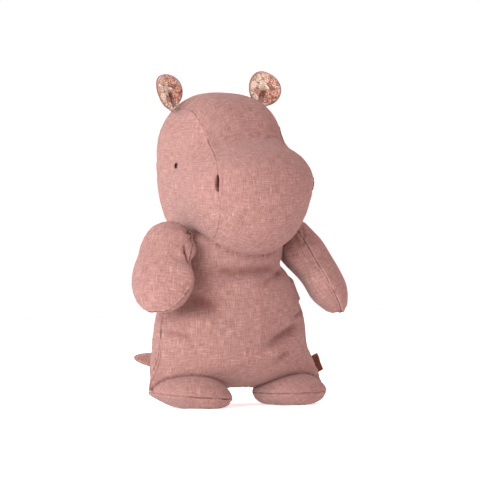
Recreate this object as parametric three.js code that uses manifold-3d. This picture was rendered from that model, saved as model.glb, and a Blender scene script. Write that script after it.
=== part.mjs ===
// A stuffed linen toy hippopotamus, 22 cm tall, standing on two padded feet.
// Millimetres, +Z up. The toy faces -Y and its own left side is at +X.
// Every piece is a closed solid; neighbours are cut back so that GAP stays between them.

import * as THREE from 'three';
import { mergeVertices } from 'three/addons/utils/BufferGeometryUtils.js';
import Module from 'manifold-3d';

const wasm = await Module();
wasm.setup();

// ---------- driving dimensions ----------

const GAP = 0.3; // clearance between sewn neighbours

// The head is a tall cranium blended into a broad muzzle. A power of 2 is an ellipse, more is boxier.
const CRANIUM = {
  y: 17, z: 160, wide: 38.6, front: 37.2, back: 39.6, up: 45, down: 56, crown: 2.6, jaw: 2.6,
};
const MUZZLE = {
  y: -15, z: 144, wide: 42.8, front: 36.2, back: 40, up: 29, down: 45.5, crown: 2.25, jaw: 1.95,
};
const POWER_CHANGE = 15; // half the height over which an egg turns from its crown's power to its jaw's
const HEAD_CORE = new THREE.Vector3(0, 0, 150); // every point of the head is in sight from here
const HEAD_BLEND = 0.4; // softness of the hollow between forehead and muzzle
const NOSTRIL = { x: 38.5, y: -34, z: 147.5, tall: 6.2, wide: 1.4, deep: 3.2, turn: 38 };

// Two fabric panels make the trunk, joined at the side seams and along the bottom.
const TRUNK_BOTTOM = 12.5; // height of the bottom seam
const TRUNK_TOP = 118; // crown of the trunk, inside the head
const TRUNK_STATIONS = [
  // z, half width, front depth, back depth, set-back of the side seams
  [TRUNK_BOTTOM, 69, 25, 30, 0],
  [20, 65.5, 29, 34, 1.5],
  [35, 59, 33.5, 39, 4],
  [60, 54.8, 33, 39.5, 4.5],
  [80, 45, 29.5, 32.5, 3.5],
  [96, 36.5, 25.5, 29.5, 1.5],
  [TRUNK_TOP, 41, 25, 30, 0],
];
const TRUNK_ROLL = { bottom: 24, top: 9 }; // heights over which the panels round into their ends
const PANEL_POWER = { front: 1.3, hem: 1.1, back: 1.1 }; // 1 is a half ellipse, more is sharper at the seam
const HEM_REACH = [20, 60]; // heights between which the front turns from the hem's power to its own

// Arms are flat mittens, turned in at the front and leaning out from the shoulder.
const ARM = { x: 46.7, y: 6.5, z: 121, turn: 35, leanTurn: 41, power: 1.1 };
const ARM_HANG = { right: { length: 68, lean: 32 }, left: { length: 71, lean: 30 } }; // degrees off upright
const ARM_STATIONS = [
  // share of the length, outer half width, inner half width, half thickness
  [0, 9, 9, 7],
  [0.13, 14.5, 14.5, 10],
  [0.28, 18, 18, 12],
  [0.45, 20, 17.8, 13.1],
  [0.62, 20.8, 22, 13],
  [0.8, 19, 20, 12],
  [1, 17, 17, 10],
];
const ARM_ROLL = { top: 0.12, tip: 0.3 }; // shares of the length over which the ends round off

// Feet are padded ovals, widest at the seam between the upper and the sole; each runs from the
// trunk's bottom corner inward and forward.
const FOOT = { x: 39.8, y: -4.4, long: 27.2, short: 22.5, turn: 22, seam: 8 };
const FOOT_TOP = { right: 23.4, left: 21.8 }; // crown of each upper
const SOLE = { long: 0.45, front: 0.58, back: 0.7 }; // the flat's shares of the oval
const SOLE_INWARD = { right: 7.5, left: 1 }; // how far the flat lies towards the toy's middle
const SEAM_SLOPE = { right: 2.6, left: 0 }; // rise of the seam at the outer end, and its fall at the inner
const SOLE_EDGE = { spread: 1.2, rise: 1.6 }; // how the sole leaves the flat on its way up to the seam

// Ears are thin round cushions, pinched at the base and cupped, with a printed inner face.
const EAR = { x: 33.6, y: 22.6, z: 196.4, radius: 11.4, rise: 13, thick: 3.2, cup: 3.2 };
const EAR_DROP = { right: 2.2, left: 0 }; // the right ear is sewn a little lower
const EAR_LEAN = { out: 21, back: 12, turn: 15 }; // degrees
const EAR_STEM = { wide: 4.2, widen: 6, pinch: 0.6 };
const LINING = { share: 0.93, thick: 1.2 };

const EYE = { y: 11, z: 158, wide: 1.1, tall: 1.8, proud: 0.9 }; // an embroidered upright stitch

const TAIL = { y: 33, z: 26, length: 50, wide: 10.2, thick: 5, sideways: 30.5, tipRound: 0.4, swell: 0.75 };

const TAG = { z: 24.6, tall: 12, out: 5.5, thick: 1.8, tilt: 24, sewnIn: 3 };

// ---------- looks ----------

const LINEN = { color: 0xc98f86, roughness: 0.92, metalness: 0 };
const EAR_PRINT = { color: 0xe6bfa8, roughness: 0.7, metalness: 0 };
const THREAD = { color: 0x3a2320, roughness: 0.6, metalness: 0 };
const LEATHER = { color: 0x8a4a34, roughness: 0.55, metalness: 0 };

// ---------- small mathematics ----------

const radians = THREE.MathUtils.degToRad;
const clamp = THREE.MathUtils.clamp;

// Smooth value between the rows of a station table; column 0 is the place along it.
function station(table, place, column) {
  const last = table.length - 1;
  let row = 0;
  while (row < last - 1 && place > table[row + 1][0]) row += 1;
  const slope = (i) => {
    const a = Math.max(i - 1, 0);
    const b = Math.min(i + 1, last);
    return (table[b][column] - table[a][column]) / (table[b][0] - table[a][0]);
  };
  const step = table[row + 1][0] - table[row][0];
  const t = clamp((place - table[row][0]) / step, 0, 1);
  const start = table[row][column];
  const end = table[row + 1][column];
  const keep = (1 + 2 * t) * (1 - t) ** 2;
  const rise = t * (1 - t) ** 2 * step * slope(row);
  const fall = t * t * (t - 1) * step * slope(row + 1);
  return start * keep + end * (1 - keep) + rise + fall;
}

// 0 at an end, 1 once `reach` past it, along a quarter circle.
const rounding = (distance, reach) => Math.sqrt(1 - (1 - clamp(distance / reach, 0, 1)) ** 2);

// Places from 0 to 1, crowded towards both ends so that round ends stay round.
const eased = (count) => {
  const place = (_, i) => (1 - Math.cos((Math.PI * i) / count)) / 2;
  return Array.from({ length: count + 1 }, place);
};

// ---------- closed bodies ----------

// Welds equal points, drops collapsed triangles and turns the faces outward.
function closedBody(points, triangles) {
  const raw = new THREE.BufferGeometry();
  raw.setAttribute('position', new THREE.Float32BufferAttribute(points.flatMap((p) => [p.x, p.y, p.z]), 3));
  raw.setIndex(triangles.flat());
  const welded = mergeVertices(raw, 1e-3);
  const old = welded.index.array;
  const at = (i) => new THREE.Vector3().fromBufferAttribute(welded.attributes.position, i);
  const kept = [];
  let volume = 0;
  for (let i = 0; i < old.length; i += 3) {
    const [a, b, c] = [old[i], old[i + 1], old[i + 2]];
    if (a === b || b === c || a === c) continue;
    kept.push([a, b, c]);
    volume += at(a).dot(at(b).cross(at(c)));
  }
  welded.setIndex((volume < 0 ? kept.map(([a, b, c]) => [a, c, b]) : kept).flat());
  return welded;
}

// A skin over rings of equal length, closed at both ends by a fan; a ring may shrink to a line or point.
function skin(rings) {
  const size = rings[0].length;
  const points = rings.flat();
  const triangles = [];
  for (let r = 0; r + 1 < rings.length; r += 1) {
    for (let i = 0; i < size; i += 1) {
      const a = r * size + i;
      const b = r * size + ((i + 1) % size);
      triangles.push([a, b, b + size], [a, b + size, a + size]);
    }
  }
  const fan = (ring, base, flip) => {
    const flat = ring.every((p, i) => p.distanceTo(ring[(size - i) % size]) < 1e-3);
    if (flat) return; // a line or a point needs no lid
    const centre = ring.reduce((sum, p) => sum.add(p), new THREE.Vector3()).divideScalar(size);
    points.push(centre);
    for (let i = 0; i < size; i += 1) {
      const pair = [base + i, base + ((i + 1) % size)];
      triangles.push(flip ? [points.length - 1, ...pair.reverse()] : [points.length - 1, ...pair]);
    }
  };
  fan(rings[0], 0, true);
  fan(rings.at(-1), (rings.length - 1) * size, false);
  return closedBody(points, triangles);
}

// A fine ball whose points are pushed out from `core` until `field` reaches zero.
function inflate(core, detail, field) {
  const ball = new THREE.IcosahedronGeometry(1, detail);
  const place = ball.attributes.position;
  const points = [];
  for (let i = 0; i < place.count; i += 1) {
    const way = new THREE.Vector3().fromBufferAttribute(place, i).normalize();
    let near = 0;
    let far = 150;
    for (let step = 0; step < 30; step += 1) {
      const middle = (near + far) / 2;
      if (field(core.clone().addScaledVector(way, middle)) < 0) near = middle;
      else far = middle;
    }
    points.push(core.clone().addScaledVector(way, near));
  }
  const triangles = points.flatMap((_, i) => (i % 3 === 0 ? [[i, i + 1, i + 2]] : []));
  return closedBody(points, triangles);
}

// ---------- joins and cuts ----------

function toManifold(geometry) {
  const bare = geometry.clone();
  bare.deleteAttribute('normal');
  bare.deleteAttribute('uv');
  const welded = mergeVertices(bare);
  return new wasm.Manifold(new wasm.Mesh({
    numProp: 3,
    vertProperties: new Float32Array(welded.attributes.position.array),
    triVerts: new Uint32Array(welded.index.array),
  }));
}

function toGeometry(manifold) {
  const mesh = manifold.getMesh();
  const geometry = new THREE.BufferGeometry();
  geometry.setAttribute('position', new THREE.BufferAttribute(mesh.vertProperties, 3));
  geometry.setIndex(new THREE.BufferAttribute(mesh.triVerts, 1));
  return geometry;
}

function cut(geometry, ...tools) {
  const body = tools.reduce((left, tool) => left.subtract(toManifold(tool)), toManifold(geometry));
  return toGeometry(body);
}

// ---------- head ----------

// Superellipsoid with its own reach ahead, behind, above and below; 0 on its surface.
function egg(shape, p, grow) {
  const x = Math.abs(p.x) / (shape.wide + grow);
  const y = Math.abs(p.y - shape.y) / ((p.y < shape.y ? shape.front : shape.back) + grow);
  const z = Math.abs(p.z - shape.z) / ((p.z > shape.z ? shape.up : shape.down) + grow);
  const height = THREE.MathUtils.smoothstep(p.z, shape.z - POWER_CHANGE, shape.z + POWER_CHANGE);
  const power = THREE.MathUtils.lerp(shape.jaw, shape.crown, height);
  return (x ** power + y ** power + z ** power) ** (1 / power) - 1;
}

function headField(p, grow = 0) {
  const a = egg(CRANIUM, p, grow);
  const b = egg(MUZZLE, p, grow);
  const mix = Math.max(HEAD_BLEND - Math.abs(a - b), 0) / HEAD_BLEND;
  return Math.min(a, b) - (mix * mix * HEAD_BLEND) / 4;
}

const headShape = (detail, grow = 0) => inflate(HEAD_CORE, detail, (p) => headField(p, grow));

// A sewn-in slit: a thin upright lens sunk into the corner of the muzzle.
function nostrilCut(side) {
  const slit = new THREE.SphereGeometry(1, 12, 10);
  slit.scale(NOSTRIL.deep, NOSTRIL.wide, NOSTRIL.tall);
  slit.rotateZ(-side * radians(NOSTRIL.turn));
  slit.translate(side * NOSTRIL.x, NOSTRIL.y, NOSTRIL.z);
  return slit;
}

// Embroidered eye: a small upright oval lying on the side of the head.
function eyeShape(side) {
  let x = 0;
  while (headField(new THREE.Vector3(x, EYE.y, EYE.z)) < 0) x += 0.05;
  const knot = new THREE.SphereGeometry(1, 10, 8);
  knot.scale(EYE.proud + GAP, EYE.wide, EYE.tall);
  knot.translate(side * x, EYE.y, EYE.z);
  return knot;
}

// ---------- trunk ----------

function trunkRing(z, grow, segments) {
  const rise = rounding(z - TRUNK_BOTTOM + grow, TRUNK_ROLL.bottom);
  const close = rounding(TRUNK_TOP + grow - z, TRUNK_ROLL.top);
  const wide = (station(TRUNK_STATIONS, z, 1) + grow) * close;
  const front = (station(TRUNK_STATIONS, z, 2) + grow) * rise * close;
  const back = (station(TRUNK_STATIONS, z, 3) + grow) * rise * close;
  const seam = station(TRUNK_STATIONS, z, 4);
  const above = THREE.MathUtils.smoothstep(z, ...HEM_REACH);
  const power = THREE.MathUtils.lerp(PANEL_POWER.hem, PANEL_POWER.front, above);
  return Array.from({ length: segments }, (_, i) => {
    const angle = (2 * Math.PI * i) / segments;
    const rim = Math.sin(angle);
    const depth = rim > 0 ? back * rim ** PANEL_POWER.back : -front * (-rim) ** power;
    return new THREE.Vector3(wide * Math.cos(angle), seam + depth, z);
  });
}

function trunkShape(segments, count, grow = 0) {
  const low = TRUNK_BOTTOM - grow;
  const high = TRUNK_TOP + grow;
  return skin(eased(count).map((t) => trunkRing(low + (high - low) * t, grow, segments)));
}

// ---------- arms ----------

function armFrame(side) {
  const hang = side < 0 ? ARM_HANG.right : ARM_HANG.left;
  const turn = radians(ARM.turn);
  const lean = radians(hang.lean);
  const across = new THREE.Vector3(side * Math.sin(turn), Math.cos(turn), 0);
  const aim = radians(ARM.leanTurn);
  const out = new THREE.Vector3(side * Math.cos(aim), -Math.sin(aim), 0);
  const down = new THREE.Vector3(0, 0, -Math.cos(lean)).addScaledVector(out, Math.sin(lean));
  const face = new THREE.Vector3().crossVectors(across, down).normalize();
  const root = new THREE.Vector3(side * ARM.x, ARM.y, ARM.z);
  return { root, across, down, face, length: hang.length };
}

function armShape(side, segments, count, grow = 0) {
  const { root, across, down, face, length } = armFrame(side);
  const rings = eased(count).map((t) => {
    const end = rounding(t, ARM_ROLL.top) * rounding(1 - t, ARM_ROLL.tip);
    const outer = station(ARM_STATIONS, t, 1) * end + grow;
    const inner = station(ARM_STATIONS, t, 2) * end + grow;
    const thick = station(ARM_STATIONS, t, 3) * end + grow;
    return Array.from({ length: segments }, (_, i) => {
      const angle = (2 * Math.PI * i) / segments;
      const rim = Math.sin(angle);
      const wide = Math.cos(angle) > 0 ? outer : inner;
      return root.clone()
        .addScaledVector(down, length * t)
        .addScaledVector(across, wide * Math.cos(angle))
        .addScaledVector(face, thick * Math.sign(rim) * Math.abs(rim) ** ARM.power);
    });
  });
  return skin(rings);
}

// ---------- feet ----------

// Flat sole, sloping edge up to the seam, then a dome.
function footShape(side, segments, count) {
  const inward = side < 0 ? SOLE_INWARD.right : SOLE_INWARD.left;
  const slope = side < 0 ? SEAM_SLOPE.right : SEAM_SLOPE.left;
  const top = side < 0 ? FOOT_TOP.right : FOOT_TOP.left;
  const oval = (long, front, back, shift, z, tip) => Array.from({ length: segments }, (_, i) => {
    const angle = (2 * Math.PI * i) / segments;
    const rim = Math.sin(angle);
    const x = FOOT.long * long * Math.cos(angle) - side * shift;
    const rise = slope * tip * side * Math.cos(angle);
    return new THREE.Vector3(x, FOOT.short * (rim > 0 ? back : front) * rim, z + rise);
  });
  const rings = [];
  for (let i = 0; i <= count; i += 1) {
    const rise = i / count;
    const under = (1 - rise) ** SOLE_EDGE.spread;
    const share = (flat) => 1 - (1 - flat) * under;
    const height = FOOT.seam * rise ** SOLE_EDGE.rise;
    const [long, front, back] = [SOLE.long, SOLE.front, SOLE.back].map(share);
    rings.push(oval(long, front, back, inward * under, height, rise ** SOLE_EDGE.rise));
  }
  for (let i = 1; i <= 2 * count; i += 1) {
    const angle = (Math.PI / 2) * (i / (2 * count));
    const share = Math.cos(angle);
    const height = FOOT.seam + (top - FOOT.seam) * Math.sin(angle);
    rings.push(oval(share, share, share, 0, height, share ** 2));
  }
  const foot = skin(rings);
  foot.rotateZ(side * radians(FOOT.turn));
  foot.translate(side * FOOT.x, FOOT.y, 0);
  return foot;
}

// ---------- ears ----------

// Half width of the ear's outline at a height above its pinched base.
function earWidth(z) {
  const dome = Math.sqrt(Math.max(EAR.radius ** 2 - (z - EAR.rise) ** 2, 0));
  if (z > EAR.rise) return dome;
  const t = z / (EAR.rise + EAR.radius);
  const pinch = Math.min(1, EAR_STEM.pinch + EAR_STEM.widen * t);
  return Math.max(dome, (EAR_STEM.wide + EAR_STEM.widen * t) * pinch);
}

// A cupped cushion: `share` shrinks it about its middle; `ahead` and `behind` are its half thicknesses.
function earDisc(share, ahead, behind, grow, segments, count) {
  const middle = EAR.rise * 0.55;
  const rings = eased(count).map((t) => {
    const z = (EAR.rise + EAR.radius) * t;
    const reach = earWidth(z) * share + grow;
    const height = middle + (z - middle) * (share + grow / EAR.radius);
    const full = Math.min(1, (3 * reach) / EAR.radius);
    return Array.from({ length: segments }, (_, i) => {
      const angle = (2 * Math.PI * i) / segments;
      const rim = Math.sin(angle);
      const x = reach * Math.cos(angle);
      const fold = EAR.cup * (Math.abs(x) / EAR.radius) ** 1.5;
      return new THREE.Vector3(x, ((rim > 0 ? behind : ahead) + grow) * rim * full - fold, height);
    });
  });
  return skin(rings);
}

function placeEar(geometry, side) {
  geometry.rotateX(-radians(EAR_LEAN.back));
  geometry.rotateY(side * radians(EAR_LEAN.out));
  geometry.rotateZ(-side * radians(EAR_LEAN.turn));
  geometry.translate(side * EAR.x, EAR.y, EAR.z - (side < 0 ? EAR_DROP.right : EAR_DROP.left));
  return geometry;
}

// ---------- tail and tag ----------

// A flattened leaf that leaves the middle of the back and bends to the toy's right.
function tailShape(segments, count) {
  const start = new THREE.Vector3(0, TAIL.y, TAIL.z);
  const elbow = new THREE.Vector3(-2, TAIL.y + TAIL.length * 0.55, TAIL.z - 1);
  const tip = new THREE.Vector3(-TAIL.sideways, TAIL.y + TAIL.length * 0.82, TAIL.z + 3.6);
  const spine = new THREE.QuadraticBezierCurve3(start, elbow, tip);
  const rings = eased(count).map((t) => {
    const middle = spine.getPoint(t);
    const along = spine.getTangent(t);
    const aside = new THREE.Vector3(along.y, -along.x, 0).normalize();
    const leaf = (rounding(1 - t, TAIL.tipRound) * (1 + rounding(t, TAIL.swell))) / 4;
    return Array.from({ length: segments }, (_, i) => {
      const angle = (2 * Math.PI * i) / segments;
      return middle.clone()
        .addScaledVector(aside, TAIL.thick * leaf * Math.cos(angle))
        .add(new THREE.Vector3(0, 0, TAIL.wide * leaf * Math.sin(angle)));
    });
  });
  return skin(rings);
}

// A leather strip folded double, its fold outward and its ends caught in the side seam.
function tagShape() {
  const outline = new THREE.Shape();
  const half = TAG.thick / 2;
  outline.moveTo(-TAG.sewnIn, -half);
  outline.lineTo(TAG.out - half, -half);
  outline.absarc(TAG.out - half, 0, half, -Math.PI / 2, Math.PI / 2, false);
  outline.lineTo(-TAG.sewnIn, half);
  outline.closePath();
  const sweep = { depth: TAG.tall, bevelEnabled: false, curveSegments: 8 };
  const strip = new THREE.ExtrudeGeometry(outline, sweep);
  strip.translate(0, 0, -TAG.tall / 2);
  strip.rotateY(-radians(TAG.tilt)); // its top leans in, as the side seam does
  strip.translate(station(TRUNK_STATIONS, TAG.z, 1), station(TRUNK_STATIONS, TAG.z, 4), TAG.z);
  return strip;
}

// ---------- assembly ----------

const toy = new THREE.Group();

function add(name, geometry, look) {
  const piece = new THREE.Mesh(geometry, new THREE.MeshStandardMaterial(look));
  piece.name = name;
  piece.geometry.computeVertexNormals();
  toy.add(piece);
  return piece;
}

const trunkGuard = trunkShape(44, 22, GAP);
const headGuard = headShape(9, GAP);

add('trunk', trunkShape(44, 22), LINEN);
add('head', cut(headShape(9), trunkGuard, nostrilCut(1), nostrilCut(-1)), LINEN);
add('tail', cut(tailShape(10, 12), trunkGuard), LINEN);
add('side_tag', cut(tagShape(), trunkGuard), LEATHER);

for (const [name, side] of [['right', -1], ['left', 1]]) {
  const half = EAR.thick / 2;
  const ear = placeEar(earDisc(1, half, half, 0, 16, 10), side);
  const earGuard = placeEar(earDisc(1, half, half, GAP, 16, 10), side);
  const lining = placeEar(earDisc(LINING.share, half + GAP + LINING.thick, 0.5, 0, 14, 9), side);
  add(`arm_${name}`, cut(armShape(side, 24, 18), trunkGuard, headGuard), LINEN);
  add(`leg_${name}`, cut(footShape(side, 28, 5), trunkGuard), LINEN);
  add(`ear_${name}`, cut(ear, headGuard), LINEN);
  add(`ear_lining_${name}`, cut(lining, earGuard, headGuard), EAR_PRINT);
  add(`eye_${name}`, cut(eyeShape(side), headGuard), THREAD);
}

// The origin is the middle of the footprint, on the floor.
const bounds = new THREE.Box3().setFromObject(toy);
const middle = bounds.getCenter(new THREE.Vector3());
toy.position.set(-middle.x, -middle.y, -bounds.min.z);

export default toy;
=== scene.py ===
import math

import bpy
import numpy as np
from mathutils import Matrix, Vector
from mathutils.bvhtree import BVHTree
from mathutils.kdtree import KDTree


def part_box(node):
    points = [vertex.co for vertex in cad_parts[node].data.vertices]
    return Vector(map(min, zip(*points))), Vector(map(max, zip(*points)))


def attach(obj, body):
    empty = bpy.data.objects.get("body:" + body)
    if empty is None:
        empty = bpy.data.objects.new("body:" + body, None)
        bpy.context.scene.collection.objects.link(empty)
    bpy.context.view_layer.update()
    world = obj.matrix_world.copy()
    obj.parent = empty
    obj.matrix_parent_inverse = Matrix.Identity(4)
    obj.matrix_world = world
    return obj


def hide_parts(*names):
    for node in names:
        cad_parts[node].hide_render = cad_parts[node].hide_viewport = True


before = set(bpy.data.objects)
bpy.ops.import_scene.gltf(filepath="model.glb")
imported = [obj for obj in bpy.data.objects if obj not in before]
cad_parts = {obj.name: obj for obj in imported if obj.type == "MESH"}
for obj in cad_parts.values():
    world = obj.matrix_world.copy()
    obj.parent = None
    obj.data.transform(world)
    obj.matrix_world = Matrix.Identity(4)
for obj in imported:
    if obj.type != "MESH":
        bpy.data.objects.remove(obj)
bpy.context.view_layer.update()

# A stuffed linen toy hippopotamus. Shapes are worked out in millimetres in the toy's own frame:
# it faces -Y, its own left is at +X, and z is 0 under the soles. Body.build() turns them into
# metres in the row frame. Tables keyed by -1 and 1 are for the right and the left side.

MM = 0.001
SIDE_WORD = {-1: "right", 1: "left"}
EYE = {"y": 11.0, "z": 158.0}
eye_boxes = np.array([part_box("eye_left"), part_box("eye_right")])
eye_middle = eye_boxes.mean((0, 1))
ORIGIN = np.array([eye_middle[0], eye_middle[1] - EYE["y"] * MM, 0.0])

# ---------- sizes, as in the CAD model ----------

CRANIUM = {"y": 17, "z": 160, "wide": 38.6, "front": 37.2, "back": 39.6, "up": 45, "down": 56,
           "crown": 2.6, "jaw": 2.6}
MUZZLE = {"y": -15, "z": 144, "wide": 42.8, "front": 36.2, "back": 40, "up": 29, "down": 45.5,
          "crown": 2.25, "jaw": 1.95}
POWER_CHANGE = 15.0
HEAD_CORE = np.array([0.0, 0.0, 150.0])
HEAD_BLEND = 0.4
NOSTRIL = {"z": 147.2, "tall": 6.2, "wide": 2.7, "lip": 0.9, "deep": 3.2}
NOSTRIL_OPEN = {-1: 1.0, 1: 0.8}
NOSTRIL_LIP = {-1: 0.6, 1: 0.2}

# Angle round the head's side-to-side axis (0 is the crown, 90 the face), and how far out the seam
# between the middle panel and the side panels lies, in degrees.
HEAD_SEAM = [
    [-180, 30], [-120, 27], [-60, 29], [-25, 31.5], [-10, 34.2], [2, 39], [16, 45.5], [34, 50.3],
    [60, 50.2], [82, 48.4], [102, 47.6], [120, 43], [140, 38.4], [155, 35], [168, 31], [180, 30],
]
FAR_SEAM_SHIFT = 5.0  # degrees further out that the left seam runs over the forehead

TRUNK_BOTTOM = 12.5
TRUNK_TOP = 118.0
# z, half width, front depth, back depth, set-back of the side seams
TRUNK_STATIONS = [
    [TRUNK_BOTTOM, 69, 25, 30, 0],
    [20, 65.5, 29, 34, 1.5],
    [35, 59, 33.5, 39, 4],
    [60, 54.8, 33, 39.5, 4.5],
    [80, 45, 29.5, 32.5, 3.5],
    [96, 36.5, 25.5, 29.5, 1.5],
    [TRUNK_TOP, 41, 25, 30, 0],
]
TRUNK_ROLL = {"bottom": 24.0, "top": 9.0}
PANEL_POWER = {"front": 1.3, "hem": 1.1, "back": 1.1}
HEM_REACH = (20, 60)

ARM = {"x": 46.7, "y": 6.5, "z": 121.0, "turn": 35, "lean_turn": 41}
ARM_HANG = {-1: {"length": 68.0, "lean": 32}, 1: {"length": 71.0, "lean": 30}}
# share of the length, outer half width, inner half width, half thickness
ARM_STATIONS = [
    [0, 9, 9, 7],
    [0.13, 14.5, 14.5, 10],
    [0.28, 18, 18, 12],
    [0.45, 20, 17.8, 13.1],
    [0.62, 20.8, 22, 13],
    [0.8, 19, 20, 12],
    [1, 17, 17, 10],
]
ARM_ROLL = {"top": 0.12, "tip": 0.3}
ARM_SEAM_TURN = {-1: 12.0, 1: -13.0}  # degrees that each arm's seam is turned round its length
ARM_TIP = {"back": 1.6, "reach": 4}
LEFT_ARMPIT = {"full": 6.5, "z": 97, "spread": 11, "soft": 9, "way": np.array([-0.819, 0.574, 0])}

FOOT = {"x": 39.8, "y": -4.4, "long": 27.2, "short": 22.5, "turn": 22, "seam": 8.0}
FOOT_TOP = {-1: 23.4, 1: 21.8}
SOLE = {"long": 0.45, "front": 0.58, "back": 0.7}
SOLE_INWARD = {-1: 7.5, 1: 1.0}
SEAM_SLOPE = {-1: 2.6, 1: 0.0}
SOLE_EDGE = {"spread": 1.2, "rise": 1.6}
SOLE_ROUND = {-1: 0.9, 1: 0.35}  # how much rounder the sole is: the right one at its inner end only

EAR = {"x": 33.6, "y": 22.6, "z": 196.4, "radius": 11.4, "rise": 13, "thick": 3.2, "cup": 3.2}
EAR_DROP = {-1: 2.2, 1: 0.0}
EAR_LEAN = {"out": 21, "back": 12, "turn": 15}
EAR_STEM = {"wide": 4.2, "widen": 6.0, "pinch": 0.6}
LINING = {"share": 0.95, "thick": 1.2}

TAIL = {"y": 33, "z": 26, "length": 50, "wide": 10.2, "thick": 5, "sideways": 30.5,
        "tip_round": 0.4, "swell": 0.75}
TAG = {"z": 24.6, "tall": 12.0, "out": 7.2, "ply": 0.75, "gap": 0.25, "tilt": 24, "sewn_in": 3.0}

# ---------- small mathematics ----------


def station(table, place, column):
    """Smooth value between the rows of a station table; column 0 is the place along it."""
    rows = np.asarray(table, float)
    at, value = rows[:, 0], rows[:, column]
    place = np.asarray(place, float)
    slope = np.empty_like(value)
    slope[1:-1] = (value[2:] - value[:-2]) / (at[2:] - at[:-2])
    slope[0] = (value[1] - value[0]) / (at[1] - at[0])
    slope[-1] = (value[-1] - value[-2]) / (at[-1] - at[-2])
    row = np.clip(np.searchsorted(at, place, side="right") - 1, 0, len(at) - 2)
    step = at[row + 1] - at[row]
    t = np.clip((place - at[row]) / step, 0, 1)
    keep = (1 + 2 * t) * (1 - t) ** 2
    bend = t * (1 - t) ** 2 * step * slope[row] + t * t * (t - 1) * step * slope[row + 1]
    return value[row] * keep + value[row + 1] * (1 - keep) + bend


def rounding(distance, reach):
    """0 at an end, 1 once reach past it, along a quarter circle."""
    return np.sqrt(1 - (1 - np.clip(distance / reach, 0, 1)) ** 2)


def smooth(low, high, x):
    t = np.clip((x - low) / (high - low), 0, 1)
    return t * t * (3 - 2 * t)


def eased(count):
    """Places from 0 to 1, crowded towards both ends so that round ends stay round."""
    return (1 - np.cos(np.pi * np.arange(count + 1) / count)) / 2


def crowded(count):
    """Places from 0 to 1, crowded towards 1, where a seam is."""
    return 1 - (1 - np.arange(count + 1) / count) ** 1.4


def unit(v):
    return v / np.maximum(np.linalg.norm(v, axis=-1, keepdims=True), 1e-12)


def turned(points, axis, degrees):
    turn = np.array(Matrix.Rotation(math.radians(degrees), 3, axis))
    return points @ turn.T


def along(points, axis):
    """Length along a grid's lines in that axis, from its first row or column."""
    step = np.linalg.norm(np.diff(points, axis=axis), axis=-1)
    zero = np.zeros_like(np.take(step, [0], axis=axis))
    return np.concatenate([zero, np.cumsum(step, axis=axis)], axis=axis)


def resampled(path, length, steps):
    """The points of a path at the given lengths along it."""
    return np.stack([np.interp(steps, length, path[:, k]) for k in range(3)], 1)


def ripple(s, period, seed):
    """A wandering wave along a seam, from about -1 to 1, the same on each run."""
    draw = np.random.default_rng(seed)
    total = np.zeros_like(s)
    for _ in range(5):
        length = period * draw.uniform(0.62, 1.6)
        total = total + draw.uniform(0.5, 1) * np.sin(2 * np.pi * (s / length + draw.uniform()))
    return total / 2.2


def lumps(points, size, seed):
    """A soft uneven field over space, from about -1 to 1, for stuffing that isn't quite even."""
    draw = np.random.default_rng(seed)
    total = np.zeros(len(points))
    for _ in range(9):
        way = unit(draw.normal(size=3)) / (size * draw.uniform(0.8, 1.7))
        total += np.sin(2 * np.pi * (points @ way + draw.uniform()))
    return total / 3


# ---------- sewing: grids of points become one closed mesh ----------


def patch(points, uv):
    """A fabric panel: a grid of points and, for each, its place on the flat cloth in millimetres."""
    return {"points": points, "uv": uv}


def centred(grid, down_from=0.0):
    """A panel whose cloth is measured across from its middle column, and down that column."""
    middle = grid.shape[1] // 2
    across, down = along(grid, 1), along(grid, 0)[:, [middle]]
    return patch(grid, np.stack([across - across[:, [middle]], down + 0 * across + down_from], -1))


def side_lines(patches):
    """The two sewn lines down the sides of a pair of panels."""
    grid = patches[0]["points"]
    return [grid[:, 0], grid[:, -1]]


def weld(patches):
    """Joins the panels at equal points. Returns the points, each grid point's place among them, and
    the quads as grid points."""
    cloud = np.concatenate([p["points"].reshape(-1, 3) for p in patches])
    _, first, index = np.unique(np.round(cloud, 3), axis=0, return_index=True, return_inverse=True)
    corners = []
    start = 0
    for p in patches:
        rows, cols = p["points"].shape[:2]
        grid = start + np.arange(rows * cols).reshape(rows, cols)
        q = np.stack([grid[:-1, :-1], grid[:-1, 1:], grid[1:, 1:], grid[1:, :-1]], -1)
        corners.append(q.reshape(-1, 4))
        start += rows * cols
    return cloud[first], index.reshape(-1), np.concatenate(corners)


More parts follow.
